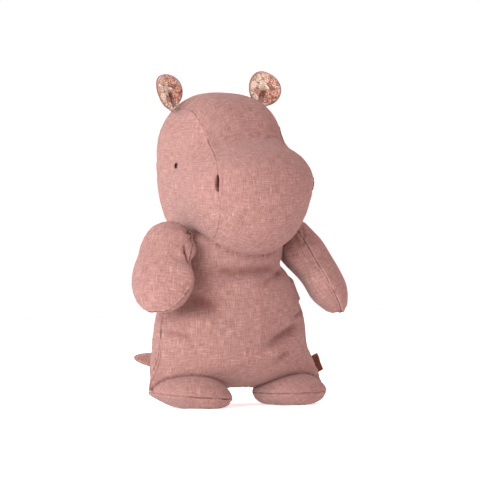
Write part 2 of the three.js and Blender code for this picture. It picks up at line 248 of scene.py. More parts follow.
class Body:
    """A sewn piece: its welded points in millimetres, which strokes, seams and lumps then shape.

    A piece is turned round as a whole, by its volume. Its panels aren't all wound alike, so faces
    and normals point inwards on some: the trunk's front, the head's left side, the soles, and one
    panel of each arm, ear, lining and of the tail. What is pushed out there goes in.
    """

    def __init__(self, name, patches):
        self.name = name
        self.uv = np.concatenate([p["uv"].reshape(-1, 2) for p in patches])
        self.points, self.index, self.corners = weld(patches)
        self.quads = self.index[self.corners]
        a, b, c, d = (self.points[self.quads[:, k]] for k in range(4))
        if np.einsum("ij,ij->i", a, np.cross(b, c) + np.cross(c, d)).sum() < 0:
            self.quads = self.quads[:, ::-1]
            self.corners = self.corners[:, ::-1]
        self.crease = np.zeros(len(self.points))
        self.fade = np.zeros(len(self.points))

    def normals(self):
        """Area-weighted normals; a quad with two equal corners counts as the triangle it is."""
        a, b, c, d = (self.points[self.quads[:, k]] for k in range(4))
        diagonal = np.cross(c - a, d - b)
        total = np.zeros_like(self.points)
        for corner in self.quads.T:
            for axis in range(3):
                total[:, axis] += np.bincount(corner, diagonal[:, axis], len(total))
        return unit(total)

    def faces(self):
        """The faces as lists of points, with a quad that has two equal corners as a triangle."""
        return [list(dict.fromkeys(q)) for q in self.quads.tolist() if len(set(q)) > 2]

    def tree(self):
        return BVHTree.FromPolygons(self.points.tolist(), self.faces())

    def within(self, other, margin):
        """The points of this piece that are inside the other's box, or nearly."""
        low, high = other.points.min(0) - margin, other.points.max(0) + margin
        return np.nonzero(((self.points > low) & (self.points < high)).all(1))[0]

    def clear_of(self, *others, gap=0.3, inward=True):
        """Presses this piece back to where the others' surfaces leave room for it: towards its own
        middle, or to the nearest free place."""
        middle = Vector((self.points.min(0) + self.points.max(0)) / 2)
        for other in others:
            tree, core = other.tree(), Vector(other.points.mean(0))
            for i in self.within(other, 1.0):
                place = Vector(self.points[i])
                spot, face, _, distance = tree.find_nearest(place)
                if is_inside(tree, core, place):
                    home = (middle - place).normalized()
                    exit_ = tree.ray_cast(place, home)[0] if inward and distance > 0.05 else None
                    if exit_ is not None:
                        self.points[i] = exit_ + home * gap
                        continue
                    way = (spot - place).normalized() if distance > 0.05 else face
                elif distance < gap:
                    way = (place - spot).normalized() if distance > 0.05 else face
                else:
                    continue
                self.points[i] = spot + way * gap

    def shade(self, amount):
        """Darkens the cloth's colour to the amount, where it isn't darker already: painted shade, and the
        seams' own dark lines.
        """
        self.crease = np.maximum(self.crease, amount)

    def darken_near(self, other, width, strength):
        """Paints shade into this piece where another piece meets it, on the side that faces the other."""
        tree, normals = other.tree(), self.normals()
        amount = np.zeros(len(self.points))
        for i in self.within(other, 3 * width):
            spot, _, _, distance = tree.find_nearest(self.points[i])
            towards = (spot - Vector(self.points[i])).normalized().dot(Vector(normals[i]))
            amount[i] = strength * math.exp(-((distance / width) ** 2)) * smooth(-0.7, 0.3, towards)
        self.shade(amount)

    def push(self, amount):
        """Moves every point along its normal."""
        self.points = self.points + self.normals() * amount[:, None]

    def uneven(self, *fields, share=1.0):
        """Pushes the cloth by lumps, each field given as its height, size and seed."""
        self.push(share * sum(height * lumps(self.points, size, seed) for height, size, seed in fields))

    def laid(self, path):
        """The path in short steps, each laid on this piece's surface."""
        path, tree = np.asarray(path, float), self.tree()
        length = along(path, 0)
        steps = np.linspace(0, length[-1], max(2, round(length[-1] / 1.5)))
        return np.array([tree.find_nearest(p)[0] for p in resampled(path, length, steps)])

    def stroke(self, path, width, depth, ends=0.25, shade=0.55, out=None):
        """Presses (depth over 0) or raises a soft line through the points of path, along out or along the
        normals. A pressed line also gets painted shade, scaled by shade."""
        path = np.asarray(path, float)
        near = np.full(len(self.points), 1e9)
        share = np.zeros(len(self.points))
        length = along(path, 0)
        for k, (a, b) in enumerate(zip(path[:-1], path[1:])):
            t = np.clip((self.points - a) @ (b - a) / max((b - a) @ (b - a), 1e-9), 0, 1)
            d = np.linalg.norm(self.points - a - t[:, None] * (b - a), axis=1)
            closer = d < near
            near[closer] = d[closer]
            place = (length[k] + t * (length[k + 1] - length[k])) / length[-1]
            share[closer] = place[closer]
        taper = smooth(0, ends, share) * smooth(0, ends, 1 - share)
        amount = np.exp(-((near / width) ** 2)) * taper
        out = self.normals() if out is None else out
        self.points = self.points - out * (depth * amount)[:, None]
        # Painted shade along a pressed line.
        if depth > 0:
            self.shade(amount * amount * min(1, depth / 2.0) * shade)

    def strokes(self, table):
        for path, *how in table:
            self.stroke(path, *how)

    def seam(self, lines, seed, groove=0.35, soft=0.4, reach=5.0, pucker=0.2, period=4.6, line=0.6,
             draw=None, worn=1.0, puff=0.0, thick=0.45):
        """Draws the cloth in along sewn lines, with the small puckers that stitches make, darkens each
        seam's line, partly its own colour and partly painted shade in the groove, and paints a highlight
        on the ridge beside it. Returns how far each point is from the lines."""
        tree, lengths = seam_tree(lines)
        found = [tree.find(p) for p in self.points]
        near = np.array([f[2] for f in found])
        place = lengths[[f[1] for f in found]]
        draw = np.ones(len(near)) if draw is None else draw
        ridge = 0.45 * np.exp(-(((near - 0.95) / 0.45) ** 2))
        sunk = np.exp(-((near / 0.42) ** 2))
        waves = ripple(place, period, seed) * np.exp(-near / 3.4) * smooth(0, 0.9, near)
        fine = ripple(place, period * 0.42, seed + 1) * np.exp(-near / 1.3) * smooth(0, 0.4, near)
        amount = (ridge - sunk) * groove - soft * np.exp(-near / reach)
        amount = amount + pucker * waves + 0.45 * pucker * fine + puff * near / 2 * np.exp(1 - near / 2)
        self.push(amount * draw)
        broken = 0.55 + 0.45 * np.clip(ripple(place, 9.0, seed + 2) + 0.3, -1, 1)
        # The seam's dark line: partly the seam's own colour, partly painted shade in its groove.
        self.shade(line * broken * np.exp(-((near / thick) ** 2)) * draw)
        # A painted highlight on the ridge beside the seam.
        self.fade = np.maximum(self.fade, worn * np.exp(-(((near - 0.9) / 0.4) ** 2)) * draw)
        return near

    def build(self, material):
        """Makes the Blender mesh in metres, in the row frame, with its cloth coordinates."""
        mesh = bpy.data.meshes.new(self.name)
        same = self.quads == np.roll(self.quads, 1, axis=1)
        kept = same.sum(1) <= 1
        quads, corners, same = self.quads[kept], self.corners[kept], same[kept]
        loops = quads[~same]
        total = (~same).sum(1)
        start = np.concatenate([[0], np.cumsum(total)[:-1]])
        mesh.vertices.add(len(self.points))
        mesh.vertices.foreach_set("co", (self.points * MM + ORIGIN).astype(np.float32).ravel())
        mesh.loops.add(len(loops))
        mesh.loops.foreach_set("vertex_index", loops.astype(np.int32))
        mesh.polygons.add(len(quads))
        mesh.polygons.foreach_set("loop_start", start.astype(np.int32))
        mesh.polygons.foreach_set("use_smooth", np.ones(len(quads), bool))
        layer = mesh.uv_layers.new(name="Cloth")
        layer.data.foreach_set("uv", self.uv[corners[~same]].astype(np.float32).ravel())
        for name, value in (("crease", self.crease), ("fade", self.fade)):
            made = mesh.attributes.new(name, "FLOAT", "POINT")
            made.data.foreach_set("value", value.astype(np.float32))
        mesh.update(calc_edges=True)
        mesh.validate()
        mesh.materials.append(material)
        return placed(self.name, mesh)


def placed(name, data):
    """A new object in the scene."""
    made = bpy.data.objects.new(name, data)
    bpy.context.scene.collection.objects.link(made)
    return made


def is_inside(tree, core, place):
    """Whether a line from the place, away from the core, leaves the closed surface."""
    way = (place - core).normalized()
    hits, start = 0, place
    while hits < 9:
        spot = tree.ray_cast(start, way)[0]
        if spot is None:
            break
        hits += 1
        start = spot + way * 1e-3
    return hits % 2 == 1


SEAM_STEP = 0.25


def seam_tree(lines):
    """A search tree over points every SEAM_STEP along the lines, and each point's length along its
    line, with 1000 more for each line before it."""
    points, lengths = [], []
    for line in lines:
        s = along(line, 0)
        fine = np.arange(0, s[-1], SEAM_STEP)
        points.append(resampled(line, s, fine))
        lengths.append(fine + 1000 * len(lengths))
    points, lengths = np.concatenate(points), np.concatenate(lengths)
    tree = KDTree(len(points))
    for i, p in enumerate(points):
        tree.insert(p, i)
    tree.balance()
    return tree, lengths


# ---------- stuffing: Blender's cloth, blown up between its seams ----------


def finer(grid, every, axis):
    """A smooth curve through a coarse grid's values along one axis, with `every` steps to each."""
    g = np.moveaxis(grid, axis, 0)
    last = len(g) - 1
    place = np.arange(last * every + 1) / every
    i = np.minimum(place.astype(int), last - 1)
    t = (place - i).reshape(-1, *[1] * (g.ndim - 1))
    a, b, c, d = g[np.maximum(i - 1, 0)], g[i], g[i + 1], g[np.minimum(i + 2, last)]
    curve = b + 0.5 * t * (c - a + t * (2 * a - 5 * b + 4 * c - d + t * (3 * (b - c) + d - a)))
    return np.moveaxis(curve, 0, axis)


STUFFING = {"every": 4, "pressure": 1.5, "slack": 0.03, "evened": 12, "frames": 20}
ENLARGED = 10 * MM  # the cloth is worked out at ten times the toy's size


def inflate(body, pinned):
    """Runs the cloth on an enlarged copy; returns how far each point went, in millimetres."""
    mesh = bpy.data.meshes.new("stuffing")
    mesh.from_pydata((body.points * ENLARGED).tolist(), [], body.faces())
    piece = placed("stuffing", mesh)
    seam = piece.vertex_groups.new(name="seam")
    seam.add(np.nonzero(pinned)[0].tolist(), 1.0, "REPLACE")
    cloth = piece.modifiers.new("stuffing", "CLOTH")
    cloth.settings.quality = 5
    cloth.settings.mass = 0.3
    cloth.settings.bending_stiffness = 0.4
    cloth.settings.vertex_group_mass = "seam"
    cloth.settings.use_pressure = True
    cloth.settings.uniform_pressure_force = STUFFING["pressure"]
    cloth.settings.shrink_min = -STUFFING["slack"]
    cloth.settings.effector_weights.gravity = 0
    cloth.point_cache.frame_start, cloth.point_cache.frame_end = 1, STUFFING["frames"]
    for at in range(1, STUFFING["frames"] + 1):
        bpy.context.scene.frame_set(at)
    result = piece.evaluated_get(bpy.context.evaluated_depsgraph_get()).data
    moved = np.empty(3 * len(body.points))
    result.vertices.foreach_get("co", moved)
    bpy.data.objects.remove(piece)
    bpy.data.meshes.remove(mesh)
    bpy.context.scene.frame_set(1)
    return moved.reshape(-1, 3) / ENLARGED - body.points


def evened(body, value, rounds):
    """The value averaged over neighbours, again and again."""
    ends = np.concatenate([body.quads[:, [k, (k + 1) % 4]] for k in range(4)])
    ends = np.concatenate([ends, ends[:, ::-1]])
    count = np.bincount(ends[:, 0], minlength=len(value))
    for _ in range(rounds):
        value = np.bincount(ends[:, 0], value[ends[:, 1]], len(value)) / count
    return value


def stuffed(name, panels, cap, keep=0.25):
    """Sews the panels to a body and lets them swell and pucker between their seams. The cloth is
    worked out on every few rows and columns; of the even swelling only the share keep stays, because
    the shapes are cut to their full size already, and no point moves further than the cap."""
    patches, lines = panels
    every = STUFFING["every"]
    coarse = [patch(p["points"][::every, ::every], p["uv"][::every, ::every]) for p in patches]
    body = Body("stuffing", coarse)
    tree, _ = seam_tree(lines)
    pinned = np.array([tree.find(p)[2] < 0.3 for p in body.points])
    moved = inflate(body, pinned)
    normal = body.normals()
    out = np.einsum("ij,ij->i", moved, normal)
    even = np.where(pinned, 0, evened(body, out, STUFFING["evened"]))
    moved = moved - normal * (even * (1 - keep))[:, None]
    length = np.linalg.norm(moved, axis=1, keepdims=True)
    moved = moved * np.minimum(1, cap / np.maximum(length, 1e-9))
    start = 0
    for p, small in zip(patches, coarse):
        rows, cols = small["points"].shape[:2]
        shift = moved[body.index[start:start + rows * cols]].reshape(rows, cols, 3)
        p["points"] = p["points"] + finer(finer(shift, every, 0), every, 1)
        start += rows * cols
    return Body(name, patches), lines


def finish_piece(piece, slot, *nodes, fill=None):
    """Hangs the piece under the root and hides the CAD nodes it stands for. Its slot and fill are not used.
    """
    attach(piece, "root")
    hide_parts(*nodes)
    return piece


# ---------- materials ----------


class Shader:
    """A node tree with short calls: each node is made, set and wired in one line."""

    def __init__(self, name):
        self.material = bpy.data.materials.new(name)
        self.material.use_nodes = True
        self.tree = self.material.node_tree
        self.skin = self.tree.nodes["Principled BSDF"]

    def node(self, kind, settings=None, **inputs):
        made = self.tree.nodes.new("ShaderNode" + kind)
        for key, value in (settings or {}).items():
            setattr(made, key, value)
        for key, value in inputs.items():
            self.put(made, int(key[1:]) if key[1:].isdigit() else key.replace("_", " "), value)
        return made

    def put(self, node, socket, value):
        if isinstance(value, bpy.types.NodeSocket):
            self.tree.links.new(value, node.inputs[socket])
        else:
            node.inputs[socket].default_value = value

    def math(self, operation, a, b=0.0, c=0.0):
        settings = {"operation": operation}
        return self.node("Math", settings, _0=a, _1=b, _2=c).outputs[0]

    def times(self, a, b):
        return self.math("MULTIPLY", a, b)

    def mix(self, share, a, b):
        made = self.node("Mix", {"data_type": "RGBA"})
        self.put(made, 0, share)
        self.put(made, 6, a)
        self.put(made, 7, b)
        return made.outputs[2]

    def noise(self, vector, scale, detail=2.0, rough=0.5):
        return self.node("TexNoise", Vector=vector, Scale=scale, Detail=detail,
                         Roughness=rough).outputs[0]

    def ramp(self, value, low, high, out_low=0.0, out_high=1.0):
        settings = {"clamp": True, "interpolation_type": "SMOOTHSTEP"}
        return self.node("MapRange", settings, Value=value, From_Min=low, From_Max=high,
                         To_Min=out_low, To_Max=out_high).outputs[0]

    def vector(self, x, y, z=0.0):
        return self.node("CombineXYZ", X=x, Y=y, Z=z).outputs[0]

    def attribute(self, name):
        return self.node("Attribute", {"attribute_name": name}).outputs["Fac"]

    def bump(self, strength, distance, height, **under):
        return self.node("Bump", Strength=strength, Distance=distance, Height=height, **under).outputs[0]

    def finish(self, **sockets):
        """Sets or wires the skin's sockets, named with _ for a space, and returns the material."""
        for socket, value in sockets.items():
            self.put(self.skin, socket.replace("_", " "), value)
        return self.material


def srgb(r, g, b):
    """A colour written as 0 to 255, as linear light."""
    value = [c / 255 for c in (r, g, b)]
    return tuple(c / 12.92 if c <= 0.04045 else ((c + 0.055) / 1.055) ** 2.4 for c in value) + (1.0,)


def woven(s, pitch, slub):
    """The threads of a plain weave over the cloth's own coordinates in millimetres.
    Returns their height, how light each place is (with a painted highlight on the crowns of the threads),
    the unevenness both ways, and the coordinates."""
    cloth = s.node("UVMap", {"uv_map": "Cloth"}).outputs[0]
    wander = s.node("TexNoise", {"noise_dimensions": "2D"}, Vector=cloth, Scale=0.06, Detail=2.0)
    place = s.node("SeparateXYZ", Vector=cloth)
    drift = s.node("SeparateColor", Color=wander.outputs[1])
    u = s.math("ADD", place.outputs[0], s.times(drift.outputs[0], 3.0))
    v = s.math("ADD", place.outputs[1], s.times(drift.outputs[1], 3.0))
    u_thread = s.math("DIVIDE", u, pitch)
    v_thread = s.math("DIVIDE", v, pitch * 1.06)
    i = s.math("FLOOR", u_thread)
    j = s.math("FLOOR", v_thread)
    over = s.math("PINGPONG", s.math("ADD", i, j), 1.0)
    arch_u = s.math("ABSOLUTE", s.math("SINE", s.times(u_thread, math.pi)))
    arch_v = s.math("ABSOLUTE", s.math("SINE", s.times(v_thread, math.pi)))
    height = s.node("Mix", {"data_type": "FLOAT"}, _0=over)
    s.put(height, 2, arch_u)
    s.put(height, 3, arch_v)
    across = 1.3  # the unevenness changes this often per millimetre from thread to thread
    warp = s.noise(s.vector(s.times(u, across), s.math("DIVIDE", v, slub)), 1.0, 1.0)
    weft = s.noise(s.vector(s.math("DIVIDE", u, slub), s.times(v, across), 40.0), 1.0, 1.0)
    threads = s.times(s.math("ADD", warp, weft), 0.36)
    # The crowns of the threads, where they pass over, painted lighter: a painted highlight.
    checks = s.times(height.outputs[0], 0.22)
    return height.outputs[0], s.math("ADD", threads, checks), warp, weft, cloth


def linen_material(name, base, deep, pale):
    """Washed pink linen: uneven threads, light slubs, painted shade and painted highlights, and seam lines
    that are partly painted shade.
    """
    s = Shader(name)
    height, light, warp, weft, _ = woven(s, 0.66, 6.5)
    object_place = s.node("TexCoord").outputs["Object"]
    cloud = s.noise(object_place, 38.0, 2.0)
    mottle = s.noise(object_place, 1500.0, 2.0, 0.6)
    colour = s.mix(s.ramp(light, 0.34, 0.66), deep, pale)
    colour = s.mix(s.ramp(cloud, 0.35, 0.65, 0.0, 0.2), colour, base)
    slubs = s.math("MAXIMUM", s.ramp(warp, 0.66, 0.76), s.ramp(weft, 0.66, 0.76))
    colour = s.mix(s.times(slubs, 0.45), colour, srgb(178, 142, 133))
    colour = s.mix(s.ramp(mottle, 0.55, 0.7, 0.0, 0.2), colour, deep)
    colour = s.mix(s.ramp(mottle, 0.3, 0.4, 0.3, 0.0), colour, srgb(184, 152, 144))
    # Painted shade in the gaps between the threads.
    gaps = s.ramp(height, 0.0, 0.5, 0.4, 0.0)
    colour = s.mix(gaps, colour, srgb(82, 42, 38))
    # Painted highlight on the ridge beside each seam.
    colour = s.mix(s.times(s.attribute("fade"), 0.28), colour, srgb(186, 146, 138))
    # Painted shade in folds, hollows and where pieces meet, and the seams' dark lines.
    colour = s.mix(s.times(s.attribute("crease"), 0.85), colour, srgb(82, 24, 20))
    relief = s.bump(0.8, 0.00012, height, Normal=s.bump(0.4, 0.00025, light))
    return s.finish(Base_Color=colour, Roughness=s.ramp(light, 0.3, 0.7, 0.96, 0.84),
                    Specular_IOR_Level=0.1, Sheen_Weight=0.18, Sheen_Roughness=0.45,
                    Sheen_Tint=(1.0, 0.8, 0.77, 1.0), Normal=relief)


def print_material(name):
    """The ears' inner cloth: cream and salmon patches under fine brown crackle lines."""
    s = Shader(name)
    height, light, _, _, cloth = woven(s, 0.4, 2.5)
    bent = s.node("TexNoise", Vector=cloth, Scale=0.3, Detail=4.0)
    shifted = s.node("VectorMath", {"operation": "MULTIPLY_ADD"}, _0=bent.outputs[1],
                     _1=(9.0, 9.0, 0.0), _2=cloth)
    cells, big, small = (
        s.node("TexVoronoi", {"feature": feature}, Vector=shifted.outputs[0], Scale=scale)
        for feature, scale in (("F1", 0.17), ("DISTANCE_TO_EDGE", 0.17), ("DISTANCE_TO_EDGE", 0.75)))
    pick = s.node("SeparateColor", Color=cells.outputs["Color"]).outputs[0]
    cream = s.ramp(pick, 0.44, 0.5)
    colour = s.mix(s.noise(cloth, 0.8, 2.0), srgb(182, 130, 112), srgb(204, 162, 144))
    colour = s.mix(cream, colour, srgb(206, 186, 168))
    fine_lines = s.times(s.ramp(small.outputs[0], 0.05, 0.16, 1.0, 0.0),
                        s.math("SUBTRACT", 1.0, s.times(cream, 0.45)))
    colour = s.mix(s.times(fine_lines, 0.85), colour, srgb(96, 40, 30))
    colour = s.mix(s.ramp(big.outputs[0], 0.02, 0.07, 0.85, 0.0), colour, srgb(92, 42, 32))
    speck = s.ramp(s.noise(cloth, 0.9, 5.0, 0.75), 0.58, 0.68, 0.0, 0.5)
    colour = s.mix(speck, colour, srgb(118, 66, 52))
    colour = s.mix(s.times(s.attribute("fade"), 0.85), colour, srgb(168, 140, 130))
    # Painted shade in the lining's fold.
    colour = s.mix(s.times(s.attribute("crease"), 0.9), colour, srgb(50, 16, 12))
    return s.finish(Base_Color=colour, Roughness=s.ramp(light, 0.3, 0.7, 0.85, 0.65),
                    Specular_IOR_Level=0.12, Normal=s.bump(0.5, 0.0001, height))


def thread_material(name):
    """Dark embroidery thread: two plies twisted together, each painted lighter along its crown as a painted
    sheen.
    """
    s = Shader(name)
    cloth = s.node("UVMap", {"uv_map": "Cloth"}).outputs[0]
    place = s.node("SeparateXYZ", Vector=cloth)
    twist = s.math("ADD", s.times(place.outputs[0], 9.0),
                   s.times(place.outputs[1], 6.5))
    ply = s.math("ABSOLUTE", s.math("SINE", twist))
    fibre = s.noise(s.vector(s.times(place.outputs[0], 8.0), place.outputs[1]), 2.0, 4.0)
    # Each ply painted lighter at its crown and darker where the plies meet: painted sheen and painted
    # shade.
    colour = s.mix(s.times(ply, fibre), srgb(14, 6, 5), srgb(52, 26, 22))
    return s.finish(Base_Color=colour, Roughness=s.ramp(fibre, 0.3, 0.7, 0.6, 0.8),
                    Specular_IOR_Level=0.1, Normal=s.bump(0.7, 0.0001, ply))


def leather_material(name):
    """Brown leather: dark dyed faces, fine grain, a tan edge where the leather is rubbed along the fold,
    and painted shade where it goes into the seam.
    """
    s = Shader(name)
    place = s.node("TexCoord").outputs["Object"]
    pores = s.node("TexVoronoi", {"feature": "F1"}, Vector=place, Scale=2600.0).outputs[0]
    grain = s.noise(place, 900.0, 4.0, 0.6)
    worn = s.noise(place, 480.0, 3.0, 0.7)
    colour = s.mix(s.ramp(grain, 0.35, 0.65), srgb(62, 25, 16), srgb(96, 46, 31))
    edge = s.times(s.attribute("fade"), s.ramp(worn, 0.3, 0.55, 0.55, 1.0))
    colour = s.mix(edge, colour, srgb(172, 108, 78))
    # Painted shade where the tag goes into the seam.
    colour = s.mix(s.times(s.attribute("crease"), 0.8), colour, srgb(24, 8, 5))
    return s.finish(Base_Color=colour, Roughness=s.ramp(grain, 0.3, 0.7, 0.8, 0.6),
                    Specular_IOR_Level=0.2, Normal=s.bump(0.5, 0.00012, s.math("ADD", pores, grain)))


def floor_material(name):
    """White paper, lit a little from below so that it stays white under the toy."""
    s = Shader(name)
    place = s.node("TexCoord").outputs["Object"]
    colour = s.mix(s.noise(place, 3.0, 2.0), (0.96, 0.96, 0.96, 1), (0.98, 0.98, 0.98, 1))
    return s.finish(Base_Color=colour, Emission_Color=(1, 1, 1, 1), Emission_Strength=0.5,
                    Roughness=0.9, Specular_IOR_Level=0.1)


LINEN = linen_material("linen", srgb(141, 102, 96), srgb(119, 81, 75), srgb(160, 120, 113))
PRINT = print_material("ear_print")
THREAD = thread_material("thread")
LEATHER = leather_material("leather")

# ---------- head ----------


def egg(shape, p):
    """Superellipsoid with its own reach ahead, behind, above and below; 0 on its surface."""
    x = np.abs(p[..., 0]) / shape["wide"]
    dy, dz = p[..., 1] - shape["y"], p[..., 2] - shape["z"]
    y = np.abs(dy) / np.where(dy < 0, shape["front"], shape["back"])
    z = np.abs(dz) / np.where(dz > 0, shape["up"], shape["down"])
    power = shape["jaw"] + (shape["crown"] - shape["jaw"]) * smooth(-POWER_CHANGE, POWER_CHANGE, dz)
    return (x**power + y**power + z**power) ** (1 / power) - 1


def head_field(p):
    a, b = egg(CRANIUM, p), egg(MUZZLE, p)
    blend = np.maximum(HEAD_BLEND - np.abs(a - b), 0) / HEAD_BLEND
    return np.minimum(a, b) - blend * blend * HEAD_BLEND / 4


def head_surface(out, round_):
    """The head's surface in the direction given by the angle out to the side and the angle round."""
    way = np.stack([np.sin(out), -np.cos(out) * np.sin(round_), np.cos(out) * np.cos(round_)], -1)
    near, far = np.zeros(out.shape), np.full(out.shape, 150.0)
    for _ in range(30):
        middle = (near + far) / 2
        inside = head_field(HEAD_CORE + way * middle[..., None]) < 0
        near, far = np.where(inside, middle, near), np.where(inside, far, middle)
    return HEAD_CORE + way * near[..., None]


def head_patches(rows, side_cols, middle_cols):
    round_deg = np.linspace(-180, 180, rows + 1)
    shift = FAR_SEAM_SHIFT * smooth(-120, -40, round_deg) * smooth(84, 45, round_deg)
    seam = {side: np.radians(station(HEAD_SEAM, round_deg, 1) + (shift if side > 0 else 0))[:, None]
            for side in (-1, 1)}
    round_ = np.radians(round_deg)[:, None]
    patches, lines = [], []
    for side in (-1, 1):
        c = crowded(side_cols)[None]
        out = side * (math.pi / 2 + (seam[side] - math.pi / 2) * c)
        grid = head_surface(out, round_ + 0 * c)
        reach = along(grid, 1)
        patches.append(patch(grid, np.stack([reach * np.sin(round_), reach * np.cos(round_)], -1)))
        lines.append(grid[:, -1])
    half = crowded(middle_cols // 2)
    c = np.concatenate([-half[::-1], half[1:]])[None]
    grid = head_surface(np.where(c < 0, seam[-1], seam[1]) * c, round_ + 0 * c)
    patches.append(centred(grid))
    return patches, lines


def nostril(body, seam_line, near, side):
    """Opens the seam into a pointed slit: the side panel slopes in under the middle panel's lip. The slit
    gets painted shade.
    """
    p = body.points
    height = (p[:, 2] - NOSTRIL["z"]) / NOSTRIL["tall"]
    here = (p[:, 1] < -20) & (side * p[:, 0] > 0) & (np.abs(height) < 1)
    lens = np.where(here, np.clip(1 - height**2, 0, 1), 0)
    normal = body.normals()
    face = seam_line[seam_line[:, 1] < -20]
    face = face[np.argsort(face[:, 2])]
    beyond = side * p[:, 0] > side * np.interp(p[:, 2], face[:, 2], face[:, 0])
    slope = np.where(beyond, NOSTRIL["wide"] * NOSTRIL_OPEN[side], NOSTRIL["lip"]) * lens ** 0.8
    share = np.clip(near / np.maximum(slope, 0.05), 0, 1)
    hollow = np.where(beyond, (1 - share) ** 1.1, (1 - share) ** 0.6)
    lip = NOSTRIL_LIP[side] * lens * np.exp(-(((near - 2.0) / 0.8) ** 2)) * ~beyond
    sink = NOSTRIL["deep"] * NOSTRIL_OPEN[side] * np.minimum(1, 1.6 * lens) * hollow
    body.points = p + normal * (lip - sink)[:, None]
    # Painted shade inside the slit.
    shade = np.where(beyond, 0.6 + 0.5 * (1 - share) ** 2, 1.15) * np.clip(4 * hollow, 0, 1)
    body.shade(np.minimum(1, 3 * lens) * shade)


def make_head(trunk):
    body, lines = stuffed("head", head_patches(480, 48, 104), cap=0.55)
    body.uneven((0.35, 34, 3), (0.12, 13, 4))
    drawn = 0.3 + 0.6 * smooth(150, 168, body.points[:, 2])
    near = body.seam(lines, 11, groove=0.22, soft=-0.4, reach=6.0, pucker=0.13, period=5.0,
                     line=drawn, worn=0.4)
    for side in (-1, 1):
        nostril(body, lines[(side + 1) // 2], near, side)
        # A short wrinkle beside each nostril, pressed in, with painted shade.
        wrinkle = [(side * 34.8, -36.3, 152), (side * 35.2, -36.7, 147), (side * 35.6, -35.8, 142.5)]
        body.stroke(wrinkle, 0.6, 0.7, 0.4, 1.6)
        # A dimple where the eye is sewn, pressed in, with painted shade at its middle.
        dimple = np.exp(-(np.linalg.norm(body.points - eye_place(side), axis=1) / 3.2) ** 2)
        body.push(-0.6 * dimple)
        body.shade(0.35 * dimple**3)
    body.clear_of(trunk)
    return body


def eye_place(side):
    """Where the eye lies on the side of the head."""
    x = np.arange(0, 60, 0.02)
    line = np.stack([x, np.full_like(x, EYE["y"]), np.full_like(x, EYE["z"])], -1)
    return np.array([side * x[np.argmax(head_field(line) > 0)], EYE["y"], EYE["z"]])


def make_eye(side):
    """Satin stitches side by side, each a strand that dips into the cloth at both ends."""
    centre = eye_place(side)
    patches = []
    strands = 7
    for k in range(strands):
        offset = (k / (strands - 1) - 0.5) * 1.6
        half = 2.0 * math.sqrt(max(1 - (offset / 1.05) ** 2, 0.2))
        t = np.linspace(-1, 1, 25)[:, None]
        angle = np.linspace(0, 2 * math.pi, 13)[None]
        arch = np.sqrt(np.clip(1 - t**2, 0, 1))
        width = 0.2 * (0.35 + 0.65 * arch ** 0.5)
        proud = 0.62 * arch ** 0.6 - 0.12 - 0.1 * (offset / 0.95) ** 2
        lean = 0.12 * t
        grid = np.stack([
            side * (proud + width * np.cos(angle)),
            offset + lean + width * np.sin(angle) + 0 * t,
            half * t + 0 * angle,
        ], -1)
        grid[0] = grid[0].mean(0)
        grid[-1] = grid[-1].mean(0)
        uv = np.stack([half * t + 0 * angle, angle / 4 + 3 * k + 0 * t], -1)
        patches.append(patch(turned(grid, "X", 18) + centre, uv))
    node = f"eye_{SIDE_WORD[side]}"
    piece = Body(node, patches).build(THREAD)
    piece.name = node + "_stitches"
    return finish_piece(piece, "thread", node)


# ---------- trunk ----------


def trunk_patches(rows, cols):
    z = TRUNK_BOTTOM + (TRUNK_TOP - TRUNK_BOTTOM) * eased(rows)[:, None]
    rise = rounding(z - TRUNK_BOTTOM, TRUNK_ROLL["bottom"])
    close = rounding(TRUNK_TOP - z, TRUNK_ROLL["top"])
    wide = station(TRUNK_STATIONS, z, 1) * close
    seam = station(TRUNK_STATIONS, z, 4)
    angle = np.linspace(0, math.pi, cols + 1)[None]
    patches = []
    hem, front = PANEL_POWER["hem"], PANEL_POWER["front"]
    front_power = hem + (front - hem) * smooth(*HEM_REACH, z)
    for column, power, sign in ((2, front_power, -1), (3, PANEL_POWER["back"], 1)):
        depth = station(TRUNK_STATIONS, z, column) * rise * close
        rim = np.sin(angle)
        rim[:, [0, -1]] = 0
        x = wide * np.cos(angle)
        patches.append(centred(np.stack([x, seam + sign * depth * rim**power, z + 0 * x], -1)))
    return patches, side_lines(patches) + [patches[0]["points"][0]]
